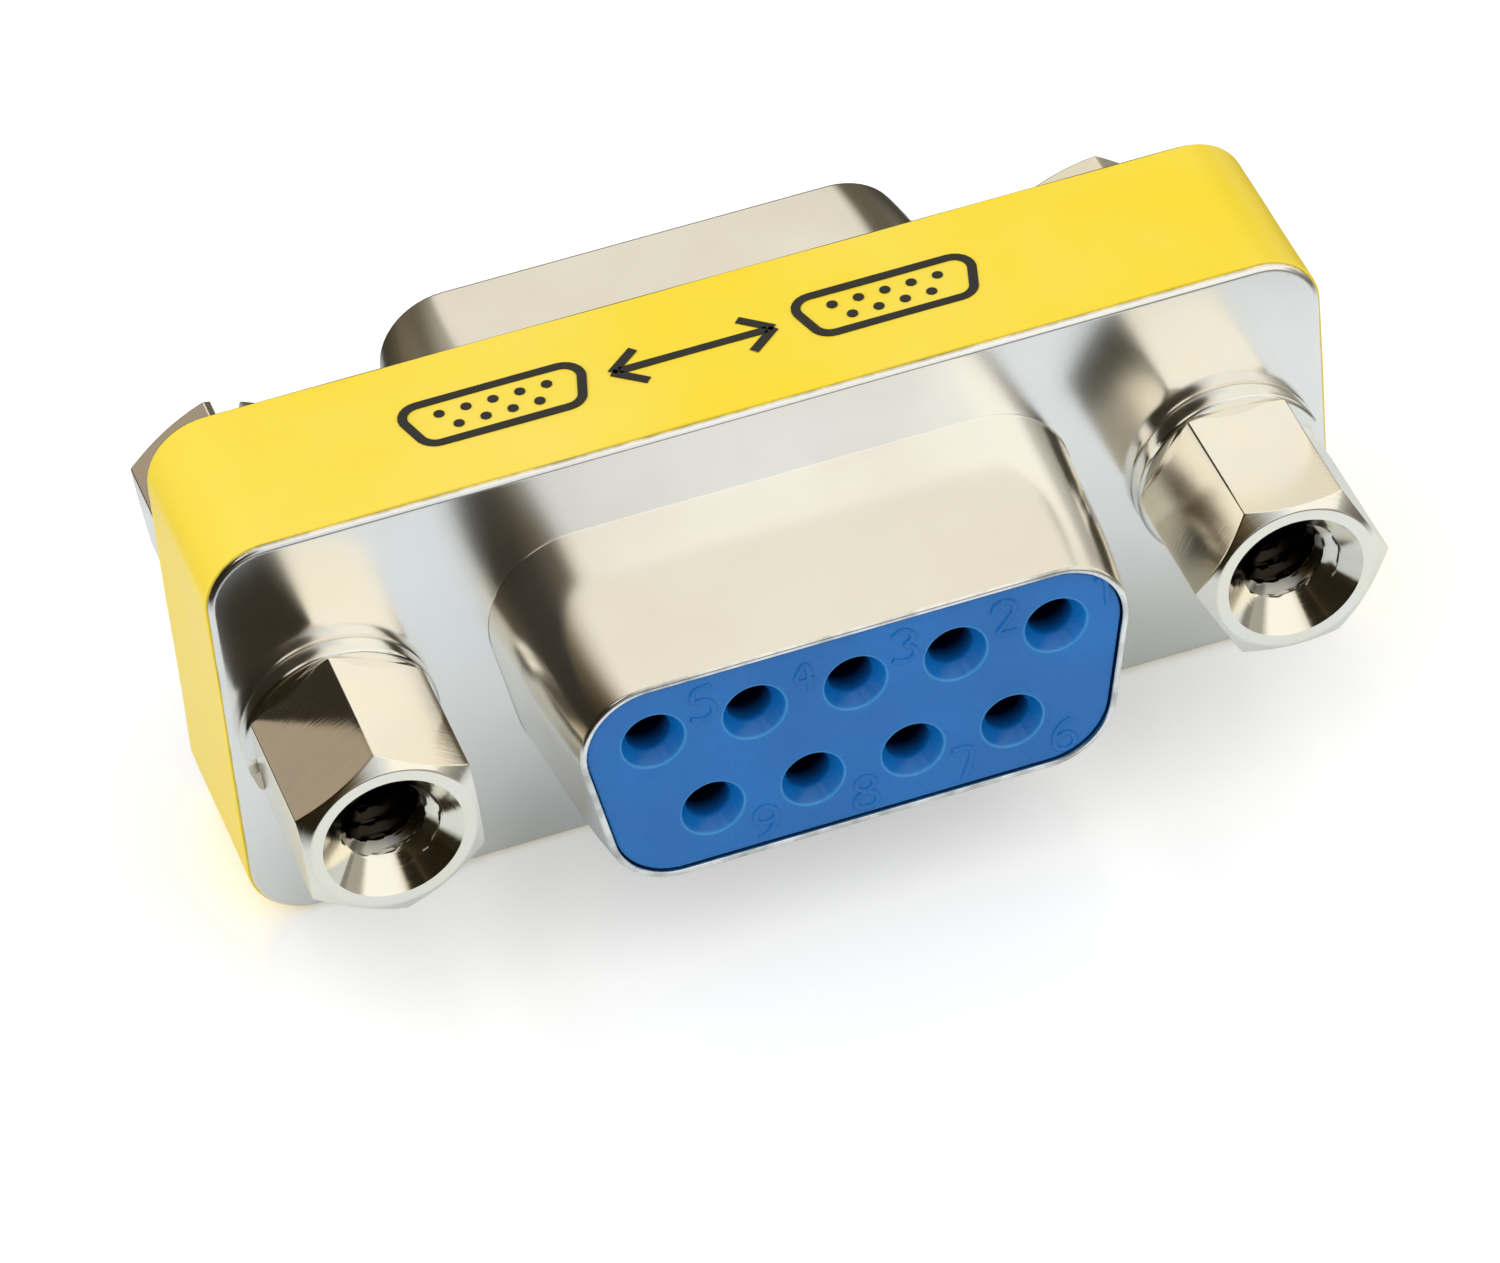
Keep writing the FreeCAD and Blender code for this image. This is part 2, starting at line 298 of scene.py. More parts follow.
class Skin:
    """Gathers the grids and flat regions of one piece."""

    def __init__(self):
        self.points = []
        self.faces = []
        self.along = []

    def add(self, points, faces, along=0.0):
        self.faces += (np.asarray(faces) + sum(map(len, self.points))).tolist()
        self.points.append(points)
        self.along.append(np.broadcast_to(along, len(points)))

    def grid(self, rows, closed=True, counted=True):
        """Quads between neighbouring rows. If counted, along is the distance gone down a column."""
        r, n = rows.shape[:2]
        index = np.arange(r * n).reshape(r, n)
        side = np.roll(index, -1, axis=1)
        if not closed:
            index, side = index[:, :-1], side[:, :-1]
        quads = np.stack([index[:-1], side[:-1], side[1:], index[1:]], -1).reshape(-1, 4)
        step = np.linalg.norm(np.diff(rows, axis=0), axis=2)
        along = np.concatenate([np.zeros((1, n)), np.cumsum(step, axis=0)]) * counted
        self.add(rows.reshape(-1, 3), quads, along.reshape(-1))

    def region(self, outer, holes):
        """Flat region between an outer outline and convex holes, all at the outline's own depth."""
        loops = [outer] + holes
        points = np.concatenate(loops)
        which = np.repeat(np.arange(len(loops)), [len(loop) for loop in loops])
        edges = []
        for i in range(len(loops)):
            index = np.flatnonzero(which == i)
            edges += np.stack([index, np.roll(index, -1)], -1).tolist()
        flat = [Vector(p) for p in points[:, [0, 2]] / MM]
        made = delaunay_2d_cdt(flat, edges, [list(range(len(outer)))], 1, 1e-7)
        back = np.array([source[0] for source in made[3]])
        triangles = back[np.array(made[2])]
        loop_of = which[triangles]
        in_hole = (loop_of[:, 0] > 0) & (loop_of == loop_of[:, :1]).all(1)
        self.add(points, triangles[~in_hole])

    def turned_end_for_end(self):
        """The same skin half a turn round the upright axis."""
        other = Skin()
        other.points = [p * (-1.0, -1.0, 1.0) for p in self.points]
        other.faces, other.along = self.faces, self.along
        return other

    def mesh(self, name, sharp_deg=None):
        """Closed mesh with the seams merged and the faces turned outwards."""
        mesh = bpy.data.meshes.new(name)
        mesh.from_pydata(np.concatenate(self.points).tolist(), [], self.faces)
        along = mesh.attributes.new("along", "FLOAT", "POINT")
        along.data.foreach_set("value", np.concatenate(self.along).astype(np.float32))
        work = bmesh.new()
        work.from_mesh(mesh)
        bmesh.ops.remove_doubles(work, verts=work.verts, dist=MERGE)
        bmesh.ops.recalc_face_normals(work, faces=work.faces)
        work.to_mesh(mesh)
        work.free()
        mesh.shade_smooth()
        if sharp_deg is not None:
            mesh.set_sharp_from_angle(angle=radians(sharp_deg))
        return mesh


def capped(rows):
    """Rows closed at both ends by their first and last row drawn together at its middle."""
    caps = [np.broadcast_to(rows[i].mean(0), (1,) + rows.shape[1:]) for i in (0, -1)]
    return np.concatenate([caps[0], rows, caps[1]])


def link(piece):
    """Bring an object into the scene."""
    bpy.context.scene.collection.objects.link(piece)


def put(mesh, finish, nodes=()):
    """Place a finished mesh in the scene, riding on the one body."""
    mesh.materials.append(finish)
    piece = bpy.data.objects.new(mesh.name, mesh)
    link(piece)
    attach(piece, "root")
    if nodes:
        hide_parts(*nodes)


# Shells

def shell_skin():
    """Drawn pan with its tapered D nose: outer skin from the open rim to the pan's edge, then the
    inner skin back. The foot and the flange's edge are quarter circles, and the rim is softened. At
    t of the way out the ends stand 6.75 t squared (1 - t) times the swell outside the even taper."""
    s = sizes()
    skin = Skin()
    turn = np.linspace(0.0, pi / 2, 11)

    def pan(inset, y):
        return at_depth(box_outline(FLANGE_W - 2 * inset, FLANGE_H - 2 * inset,
                                    s.flange_corner_r - inset), y)

    reach = NOSE_Y - PLATE_Y

    def swollen(t):
        swell = 6.75 * t * t * (1 - t) * s.nose_swell
        return nose_loop(0.0, -PLATE_Y - t * reach) * (1 + 2 * swell / s.nose_w, 1.0, 1.0)

    inside = nose_loop(s.nose_sheet, -NOSE_Y + 2 * s.nose_sheet)
    flank = [swollen(t) for t in np.linspace(1 - 2.5 * s.rim_r / reach, 2 * s.foot_r / reach, 24)]
    rim = softened([inside, nose_loop(s.nose_sheet, -NOSE_Y), nose_loop(0.0, -NOSE_Y), flank[0]],
                   [0, 0.6 * s.rim_r, s.rim_r, 0])
    foot = [nose_loop(-s.foot_r * (1 - cos(a)), -PLATE_Y - s.foot_r * (1 - sin(a))) for a in turn]
    guard = nose_loop(-s.foot_r - GUARD, -PLATE_Y)
    skin.grid(np.concatenate([rim, flank[1:], foot, [guard]]))

    brow = [pan(s.flange_edge_r * (1 - sin(a)), -PLATE_Y + s.flange_edge_r * (1 - cos(a)))
            for a in turn]
    pan_guard = pan(s.flange_edge_r + GUARD, -PLATE_Y)
    inner_pan = pan(SHEET, -INNER_Y)
    skin.grid(np.concatenate([[pan_guard], brow, [pan(0.0, -PLATE_Y + 1.3 * s.flange_edge_r)],
                              [pan(0.0, 0.0), pan(SHEET, 0.0), inner_pan]]))

    holes, inner_holes = [], []
    for side in (-1, 1):
        rims = [at_depth(circle_outline(r), y, side * SCREW_X)
                for r, y in ((s.stud_hole_r + GUARD, -PLATE_Y), (s.stud_hole_r, -PLATE_Y),
                             (s.stud_hole_r, -INNER_Y))]
        skin.grid(np.array(rims))
        holes.append(rims[0])
        inner_holes.append(rims[-1])
    skin.region(pan_guard, [guard] + holes)

    inner_foot = nose_loop(s.nose_sheet, -INNER_Y)
    skin.grid(np.array([inner_foot, inside]))
    skin.region(inner_pan, [inner_foot] + inner_holes)
    return skin


# Insulators

# Path of each number from its lower left corner, in hundredths of its height
NUMERALS = {
    1: [(10, 78), (36, 100), (36, 0)],
    2: [(2, 74), (10, 93), (30, 100), (52, 92), (58, 72), (48, 50), (0, 0), (60, 0)],
    3: [(2, 86), (28, 100), (54, 88), (54, 66), (28, 53), (58, 40), (58, 14), (28, 0), (0, 14)],
    4: [(44, 0), (44, 100), (0, 30), (62, 30)],
    5: [(54, 100), (10, 100), (6, 56), (32, 63), (57, 50), (59, 18), (30, 0), (0, 12)],
    6: [(50, 96), (22, 86), (3, 50), (4, 16), (30, 0), (56, 14), (56, 44), (30, 58), (6, 42)],
    7: [(0, 100), (60, 100), (22, 0)],
    8: [(30, 54), (6, 68), (8, 90), (30, 100), (52, 90), (54, 68), (30, 54), (2, 38), (2, 12),
        (30, 0), (58, 12), (58, 38), (30, 54)],
    9: [(10, 4), (38, 14), (57, 50), (56, 84), (30, 100), (4, 86), (4, 56), (30, 42), (54, 58)],
}


def contact_places():
    """Middle of each contact, numbered from the right of the wide row: an array of (x, z)."""
    s = sizes()
    wide = np.arange(5)
    narrow = np.arange(4)
    x = np.concatenate([(2 - wide) * s.pitch, (1.5 - narrow) * s.pitch])
    z = np.repeat([s.row_gap / 2, -s.row_gap / 2], [5, 4])
    return np.stack([x, z], -1)


def stroke(path, width, rise, y, sink):
    """Ridge along a flat path, seen from the front: each point is the path plus its side direction
    times half the width, and the section is a half ellipse that stands rise proud."""
    path = np.array(path, float)
    for _ in range(2):
        inner = np.stack([0.75 * path[:-1] + 0.25 * path[1:],
                          0.25 * path[:-1] + 0.75 * path[1:]], 1)
        path = np.concatenate([path[:1], inner.reshape(-1, 2), path[-1:]])
    across = sideways(np.gradient(path, axis=0))
    a = np.linspace(0.0, pi, 7)
    half = width / 2 * np.pad(np.cos(a), 1, "edge")
    height = np.pad(np.sin(a) ** 0.6 * rise, 1, constant_values=-sink)
    rows = capped(at_depth(path[:, None] + across[:, None] * half[:, None], y - height))
    rows[[0, -1], :, 1] = y + sink
    return rows


def insulator_skin():
    """Moulded block: face with nine countersunk holes, body as tapered as the nose, and collar."""
    s = sizes()
    skin = Skin()
    gap, land, edge_r = 0.04 * MM, 0.15 * MM, 0.06 * MM
    collar_corner_r = 1.0 * MM
    back_y = -INNER_Y + s.collar_t

    inset = s.nose_sheet + gap
    face_rim = nose_loop(inset + land, -FACE_Y)
    plate_loop = nose_loop(inset, -INNER_Y)
    skin.grid(softened([face_rim, nose_loop(inset, -FACE_Y), plate_loop], [0, edge_r, 0]),
              counted=False)

    collar = [at_depth(box_outline(s.collar_w, s.collar_h, collar_corner_r), y)
              for y in (-INNER_Y, back_y)]
    skin.region(collar[0], [plate_loop])
    skin.grid(np.array(collar), counted=False)

    sink_edge_r, throat_edge_r = 0.03 * MM, 0.05 * MM
    rims, backs = [], []
    for x, z in contact_places():
        profile = [(s.sink_r + edge_r, 0.0), (s.sink_r, 0.0), (s.throat_r, s.sink_depth),
                   (s.throat_r, s.throat_end), (s.bore_r, s.throat_end),
                   (s.bore_r, FACE_Y + back_y)]
        rows = [at_depth(circle_outline(r, 64), -FACE_Y + depth, x, z) for r, depth in profile]
        skin.grid(softened(rows, [0, sink_edge_r, throat_edge_r, 0, 0, 0]))
        rims.append(rows[0])
        backs.append(rows[-1])
    skin.region(face_rim, rims)
    skin.region(collar[1], backs)
    add_posts(skin, back_y)
    add_numerals(skin)
    return skin


def add_posts(skin, back_y):
    """Four posts from the collar to the board, sunk a little into the collar."""
    s = sizes()
    post_r, inset, sunk = 0.7 * MM, 1.1 * MM, 0.1 * MM
    root, tip = back_y - sunk, -BOARD_Y
    for side in (-1, 1):
        for level in (-1, 1):
            x = side * (s.collar_w / 2 - inset)
            z = level * (s.collar_h / 2 - inset)
            rows = [at_depth(circle_outline(r, 32), y, x, z)
                    for r, y in ((0.0, root), (post_r, root), (post_r, tip), (0.0, tip))]
            skin.grid(np.array(rows), counted=False)


def add_numerals(skin):
    """Raised numbers 1 to 9 right of the holes: above the wide row and below the narrow one."""
    s = sizes()
    width, sunk = 0.15 * MM, 0.03 * MM
    right, above, below = 1.38 * MM, 0.78 * MM, -0.98 * MM
    middle = np.array([0.3, 0.5]) * s.numeral_h
    for number, (x, z) in enumerate(contact_places(), 1):
        origin = np.array([x + right, z + (above if z > 0 else below)]) - middle
        path = origin + np.array(NUMERALS[number]) / 100 * s.numeral_h
        skin.grid(stroke(path, width, s.numeral_rise, -FACE_Y, sunk), counted=False)


# Label

def label_skin():
    """Vinyl strip round the body: a rounded outline from one side of the seam to the other, carried
    outwards along its normal by a rounded section, with a slow ripple."""
    s = sizes()
    r = s.flange_corner_r
    x, z = FLANGE_W / 2 - r, FLANGE_H / 2 - r
    centres = np.array([(x, -z), (x, z), (-x, z), (-x, -z)])
    first = np.array([-90.0, 0.0, 90.0, 180.0])
    t = np.linspace(0.0, 1.0, 15)
    normal = around(np.radians(first[:, None] + 90.0 * t))
    seam_left = np.array([[-s.label_seam_x, -FLANGE_H / 2]])
    seam_right = seam_left + (s.label_seam, 0.0)
    bends = [seam_right, *(centres[:, None, :] + r * normal), seam_left]
    normals = [normal[0, :1], *normal, normal[3, -1:]]
    u = np.linspace(0.0, 1.0, 40)[1:-1, None]
    base, out = [seam_right], [normals[0]]
    for last, bend, way in zip(bends, bends[1:], normals[1:]):
        base += [last[-1] * (1 - u) + bend[0] * u, bend]
        out += [np.broadcast_to(way[0], (len(u), 2)), way]
    base, out = np.concatenate(base), np.concatenate(out)
    run = np.concatenate([[0.0], np.cumsum(np.linalg.norm(np.diff(base, axis=0), axis=1))])
    half = -LABEL_LOW[1]
    sunk, edge_r, wave = 0.02 * MM, 0.05 * MM, 0.008 * MM
    top = LABEL_T - sunk
    a = np.linspace(0.0, pi / 2, 5)
    climb = np.append(0.0, top - edge_r * (1 - np.sin(a)))
    edge = np.append(-half, -half + edge_r * (1 - np.cos(a)))
    lift = np.concatenate([climb, np.full(9, top), climb[::-1]])
    depth = np.concatenate([edge, np.linspace(-1.0, 1.0, 9) * (half - 1.5 * edge_r), -edge[::-1]])
    ripple = wave * (1 + np.sin(run[:, None] * 900 + 2.0 * np.sin(depth[None] * 800)))
    height = np.where(lift[None] > 0.5 * top, lift[None] - ripple, lift[None])
    skin = Skin()
    skin.grid(capped(at_depth(base[:, None] + out[:, None] * height[..., None], depth)))
    return skin


def print_ribbon(skin, path, width, closed):
    """Flat printed line on top of the label: the path moved half a width to each side."""
    if closed:
        step = np.roll(path, -1, axis=0) - np.roll(path, 1, axis=0)
    else:
        step = np.gradient(path, axis=0)
    across = sideways(step) * width / 2
    section = [(-1, INK_LOW), (-1, INK_TOP), (1, INK_TOP), (1, INK_LOW), (-1, INK_LOW)]
    rows = [np.column_stack([path + side * across, np.full(len(path), z)]) for side, z in section]
    skin.grid(np.array(rows), closed=closed)


def print_disc(skin, x, y, radius):
    """Filled printed dot on top of the label."""
    section = [(0.0, INK_LOW), (radius, INK_LOW), (radius, INK_TOP), (0.0, INK_TOP)]
    rows = [np.column_stack([circle_outline(r, 20) + (x, y), np.full(20, z)]) for r, z in section]
    skin.grid(np.array(rows))


def label_print_skin():
    """Generic printed sign: two D sockets with nine holes and an arrow both ways between them."""
    skin = Skin()
    line, corner_r, dot_r, pitch = 0.26 * MM, 0.5 * MM, 0.15 * MM, 0.74 * MM
    centres = np.array([(1.95, 0.35), (1.75, -0.35), (-1.75, -0.35), (-1.95, 0.35)]) * MM
    first = np.array([90.0, -10.0, -90.0, -170.0])
    last = np.array([-10.0, -90.0, -170.0, -270.0])
    socket = arcs_outline(centres, first, last, corner_r, 6, 4)
    for x in (-6.5 * MM, 4.4 * MM):
        print_ribbon(skin, socket + (x, 0.0), line, True)
        for count, y in ((5, 0.28 * MM), (4, -0.3 * MM)):
            for i in range(count):
                print_disc(skin, x + (i - (count - 1) / 2) * pitch, y, dot_r)
    arrow = [[(-3.1, 0.0), (-1.05, 0.0), (1.0, 0.0)]]
    for tip, back in ((-3.3, -2.5), (1.2, 0.4)):
        arrow += [[(back, 0.7), (tip, 0.0)], [(tip, 0.0), (back, -0.7)]]
    for path in arrow:
        print_ribbon(skin, np.array(path) * MM, line, False)
    return skin


# Standoffs and washers

def hex_outline(flats, corner_r):
    """Hexagon with a corner on the +x side and slightly rounded corners, as angles and radii."""
    apothem = flats / 2
    far = (apothem - corner_r) / cos(pi / 6)
    centres = far * around(np.radians(np.arange(6) * -60.0))
    first = np.arange(6) * -60.0 + 30.0
    ring = arcs_outline(centres, first, first - 60.0, corner_r, 6, 16)
    return np.arctan2(ring[:, 1], ring[:, 0]), np.linalg.norm(ring, axis=1)


def thread_radius(angle, y, low, high):
    """Radius of a vee thread at an angle and a depth: it rises evenly with the distance along the
    axis from the nearest root, between a flat root and a flat crest."""
    root, flank = 0.12, 0.72
    turns = y / sizes().thread_pitch - angle / (2 * pi)
    phase = np.abs((turns % 1.0) * 2 - 1)
    return low + (high - low) * np.clip((phase - root) / flank, 0.0, 1.0)


def standoff_skin(x, corner_deg):
    """Hex jack standoff: bevel turned on its end, cone and threaded bore in it, stud behind."""
    s = sizes()
    skin = Skin()
    angle, hex_r = hex_outline(s.hex_flats, s.hex_edge_r)
    way = around(angle + radians(corner_deg))
    corner_r = s.hex_flats / 2 / cos(pi / 6)

    def fall(land_r, bevel):
        """Distance down the bevel's cone at which it meets each side of the hexagon."""
        return (hex_r - land_r) / (corner_r - land_r) * bevel

    def row(radius, y):
        return at_depth(np.reshape(radius, (-1, 1)) * way, y, x)

    end, seat = -END_Y, -SEAT_Y
    edge_r, mouth_edge_r, run_out = 0.03 * MM, 0.04 * MM, 0.3 * MM
    front_fall = fall(s.hex_land_r, s.hex_bevel)
    seat_fall = np.maximum(0.0, fall(s.seat_land_r, s.seat_bevel)) + 0.01 * MM
    skin.grid(softened([row(s.mouth_r, end), row(s.hex_land_r, end), row(hex_r, end + front_fall),
                        row(hex_r, seat - seat_fall), row(np.minimum(hex_r, s.seat_land_r), seat),
                        row(s.thread_major_r, seat)],
                       [0, mouth_edge_r, edge_r, edge_r, edge_r, 0]))

    down = np.append(np.arange(0.0, s.bore_depth - 0.02 * MM, 0.045 * MM), s.bore_depth)[:, None]
    thread = thread_radius(angle, down, s.thread_minor_r, s.thread_major_r)
    wall = np.maximum(thread, s.mouth_r - down)
    wall = np.where(down > s.bore_depth - run_out, np.minimum(wall, s.thread_minor_r), wall)
    bore = [row(r, end + d) for r, d in zip(wall, down)]
    skin.grid(np.array(bore + [row(0.0, end + s.bore_depth)]))

    tip = -STUD_TIP_Y
    along = np.linspace(seat, tip, 70)[:, None]
    thread = thread_radius(angle, along, s.thread_minor_r, s.thread_major_r)
    ease = np.minimum(along - seat, tip - along)
    wall = np.where(ease < run_out, np.minimum(thread, s.thread_minor_r + ease), thread)
    wall[0] = s.thread_major_r
    stud = [row(r, y) for r, y in zip(wall, along)]
    skin.grid(np.array(stud + [row(0.0, tip)]))
    return skin


def slotted(mesh, x, end_y, deg):
    """Cut a driver slot across the end of a standoff, with a box taken away by a Boolean."""
    s = sizes()
    reach = 9 * MM
    box = bmesh.new()
    bmesh.ops.create_cube(box, size=1.0)
    place = (Matrix.Translation((x, end_y, CENTRE_Z)) @ Matrix.Rotation(-radians(deg), 4, "Y")
             @ Matrix.Diagonal((reach, 2 * s.slot_depth, s.slot_w, 1.0)))
    bmesh.ops.transform(box, matrix=place, verts=box.verts)
    cutter_mesh = bpy.data.meshes.new("slot_cutter")
    box.to_mesh(cutter_mesh)
    box.free()
    cutter = bpy.data.objects.new("slot_cutter", cutter_mesh)
    work = bpy.data.objects.new("slot_work", mesh)
    for piece in (cutter, work):
        link(piece)
    cut = work.modifiers.new("slot", "BOOLEAN")
    cut.object = cutter
    cut.solver = "EXACT"
    graph = bpy.context.evaluated_depsgraph_get()
    result = bpy.data.meshes.new_from_object(work.evaluated_get(graph))
    result.name = mesh.name
    for piece in (cutter, work):
        bpy.data.objects.remove(piece)
    bpy.data.meshes.remove(cutter_mesh)
    result.shade_smooth()
    result.set_sharp_from_angle(angle=radians(TURNED_DEG))
    return result


def washer_skin(x, gap_deg):
    """Split ring: a rounded section swept from one cut face to the other. Each cut is a plane
    slanted through the thickness, so at radius r and offset h it lies at the angle arcsin(h / r)."""
    s = sizes()
    front, back = -SEAT_Y, -PLATE_Y
    e = s.washer_edge_r
    a = np.linspace(0.0, pi / 2, 5)
    edges = ((WASHER_R - e, front + e, a, 1, -1), (WASHER_R - e, back - e, a[::-1], 1, 1),
             (s.washer_hole_r + e / 2, back - e / 2, a, -1, 1),
             (s.washer_hole_r + e / 2, front + e / 2, a[::-1], -1, -1))
    section = []
    for r0, y0, sweep, out, deep in edges:
        size = e if out > 0 else e / 2
        section.append(np.stack([r0 + out * size * np.sin(sweep),
                                 y0 + deep * size * np.cos(sweep)], -1))
    radius, y = np.concatenate(section).T
    middle = (front + back) / 2
    drift = (middle - y) * 2 * tan(s.washer_lean)
    first = np.arcsin((drift + s.washer_gap / 2) / radius)
    last = 2 * pi + np.arcsin((drift - s.washer_gap / 2) / radius)
    u = np.linspace(0.0, 1.0, 120)[:, None]
    angle = first * (1 - u) + last * u + radians(gap_deg)
    skin = Skin()
    skin.grid(capped(at_depth(radius[:, None] * around(angle), y, x)))
    return skin


# Finishes

class Nodes:
    """A few short ways to add and join the nodes of a tree."""

    def __init__(self, tree):
        self.tree = tree

    def node(self, kind, inputs=None, **settings):
        made = self.tree.nodes.new("ShaderNode" + kind)
        for key, value in settings.items():
            setattr(made, key, value)
        for key, value in (inputs or {}).items():
            if isinstance(value, bpy.types.NodeSocket):
                self.tree.links.new(value, made.inputs[key])
            else:
                made.inputs[key].default_value = value
        return made

    def spread(self, value, low, high, to_low=0.0, to_high=1.0, kind="LINEAR"):
        return self.node("MapRange", {
            "Value": value, "From Min": low, "From Max": high, "To Min": to_low, "To Max": to_high,
        }, interpolation_type=kind).outputs["Result"]

    def mix(self, share, first, second):
        return self.node("Mix", {0: share, 6: first, 7: second},
                         data_type="RGBA").outputs[2]

    def math(self, kind, first, second=0.0):
        return self.node("Math", {0: first, 1: second}, operation=kind).outputs[0]

    def axes(self, vector):
        return self.node("SeparateXYZ", {0: vector}).outputs


class Finish(Nodes):
    """A node material round one shader."""

    def __init__(self, name, **values):
        self.material = bpy.data.materials.new(name)
        self.material.use_nodes = True
        super().__init__(self.material.node_tree)
        self.shader = self.tree.nodes["Principled BSDF"]
        for key, value in values.items():
            self.shader.inputs[key.replace("_", " ")].default_value = value

    def place(self, scale=(1.0, 1.0, 1.0), shift=(0.0, 0.0, 0.0)):
        """Object coordinates, stretched and moved."""
        source = self.node("TexCoord").outputs["Object"]
        return self.node("Mapping", {"Vector": source, "Scale": scale,
                                               "Location": shift}).outputs["Vector"]

    def noise(self, place, scale, detail=3.0, roughness=0.5):
        return self.node("TexNoise", {"Vector": place, "Scale": scale, "Detail": detail,
                                                "Roughness": roughness}).outputs["Fac"]

    def patches(self, first, second, scale, detail=3.0, low=0.4, high=0.7):
        """Soft noise patches, and the blend from one colour to another that follows them."""
        noise = self.noise(self.place(), scale, detail)
        return noise, self.mix(self.spread(noise, low, high), first, second)

    def gone(self):
        """Distance gone along the surface from its edge."""
        return self.node("Attribute", attribute_name="along").outputs["Fac"]

    def bump(self, height, strength, distance):
        made = self.node("Bump", {"Height": height, "Strength": strength,
                                            "Distance": distance})
        self.join(made.outputs["Normal"], "Normal")

    def join(self, value, socket):
        self.tree.links.new(value, self.shader.inputs[socket])


def scaled(colour_value, factor, lift=0.0):
    """A colour made darker or lighter by a factor and a lift, up to full."""
    return tuple(min(1.0, factor * c + lift) for c in colour_value[:3]) + (1.0,)


def nickel_finish():
    """Plated drawn steel: even and satin, slightly wavy, with very fine rolling lines, and mottled
    with grey along the cut and bent edges."""
    f = Finish("nickel_shell", Metallic=1.0)
    patches, plating = f.patches(tint("nickel"), tint("nickel_shade"), 260.0)
    out = f.math("ABSOLUTE", f.axes(f.place())[1])
    edges = f.math("MAXIMUM", f.spread(out, PLATE_Y - 0.14 * MM, PLATE_Y - 0.05 * MM, 1.0, 0.0),
                   f.spread(out, NOSE_Y - 0.08 * MM, NOSE_Y - 0.03 * MM))
    grey_mottle = f.spread(f.noise(f.place(), 1000.0, 4.0, 0.6), 0.42, 0.66, 0.0, 0.6)
    f.join(f.mix(f.math("MULTIPLY", edges, grey_mottle), plating, tint("edge_grey")), "Base Color")
    f.join(f.spread(patches, 0.3, 0.7, 0.17, 0.2), "Roughness")
    lines = f.noise(f.place((60.0, 900.0, 900.0)), 4.0, 2.0)
    waves = f.math("ADD", f.noise(f.place(), 110.0, 1.0), f.math("MULTIPLY", lines, 0.03))
    f.bump(waves, 1.0, 0.007 * MM)
    return f.material


def turned_nickel_finish():
    """Plated turned bar: marks ring the axis at each distance down the cut, over soft patches, and
    the thread is darkened down the bore with painted shade, inside the radius of its roots."""
    f = Finish("nickel_hardware", Metallic=1.0)
    line = f.node("CombineXYZ", {"X": f.gone()}).outputs["Vector"]
    marks = f.noise(line, 9000.0, 3.0, 0.7)
    patches, plating = f.patches(tint("turned_nickel"), tint("nickel_shade"), 420.0)
    x, y, z = f.axes(f.place())
    aside = f.math("SUBTRACT", f.math("ABSOLUTE", x), SCREW_X)
    above = f.math("SUBTRACT", z, CENTRE_Z)
    off_axis = f.math("POWER", f.math("ADD", f.math("MULTIPLY", aside, aside),
                                      f.math("MULTIPLY", above, above)), 0.5)
    wall = f.spread(off_axis, 1.46 * MM, 1.5 * MM, 1.0, 0.0)
    down = f.math("SUBTRACT", END_Y, f.math("ABSOLUTE", y))
    # Painted shade down the bore: deeper than 0.7 mm and inside the roots of the thread
    painted_bore_shade_mask = f.math("MULTIPLY", wall, f.spread(down, 0.7 * MM, 1.5 * MM))
    f.join(f.mix(painted_bore_shade_mask, plating, tint("painted_bore_shade")), "Base Color")
    f.join(f.math("ADD", f.spread(patches, 0.35, 0.7, 0.08, 0.14),
                  f.spread(marks, 0.4, 0.7, 0.0, 0.05)), "Roughness")
    f.bump(marks, 0.3, 0.01 * MM)
    return f.material


def washer_finish():
    """Plated spring steel with faint marks."""
    f = Finish("washer_steel", Metallic=1.0)
    patches, plating = f.patches(tint("washer"), tint("nickel_shade"), 700.0)
    f.join(plating, "Base Color")
    f.join(f.spread(patches, 0.3, 0.7, 0.08, 0.14), "Roughness")
    f.bump(patches, 0.1, 0.02 * MM)
    return f.material


def insulator_finish():
    """Glossy moulded plastic with a faint flow and fine grain, a painted highlight round each
    countersink and painted shade down its bore, both by the distance gone from the face."""
    f = Finish("insulator", Specular_IOR_Level=0.5)
    blue = tint("face_blue")
    moulded = f.patches(blue, scaled(blue, 1.18), 330.0, 3.0, 0.35)[1]
    gone = f.gone()
    # Painted highlight along the rim of each countersink
    line = f.math("MULTIPLY", f.spread(gone, 0.01 * MM, 0.05 * MM),
                  f.spread(gone, 0.08 * MM, 0.14 * MM, 0.6, 0.0))
    moulded = f.mix(line, moulded, tint("painted_countersink_highlight"))
    f.join(f.mix(f.spread(gone, 0.66 * MM, 1.2 * MM), moulded, tint("face_deep")), "Base Color")
    grain = f.noise(f.place(), 5000.0, 2.0)
    f.join(f.spread(grain, 0.3, 0.7, 0.2, 0.3), "Roughness")
    f.bump(grain, 0.06, 0.01 * MM)
    return f.material


def label_finish():
    """Vinyl label: even yellow with a soft sheen and very slight unevenness."""
    f = Finish("label_vinyl", Roughness=0.36)
    yellow = tint("label_yellow")
    f.join(f.patches(yellow, scaled(yellow, 0.9, 0.1), 120.0, 3.0, 0.3, 0.75)[1], "Base Color")
    f.bump(f.noise(f.place(), 800.0), 0.1, 0.03 * MM)
    return f.material


def print_finish():
    """Printed ink, slightly uneven."""
    f = Finish("label_print", Roughness=0.4)
    black = tint("print_black")
    f.join(f.patches(black, scaled(black, 1.8), 1800.0)[1], "Base Color")
    return f.material


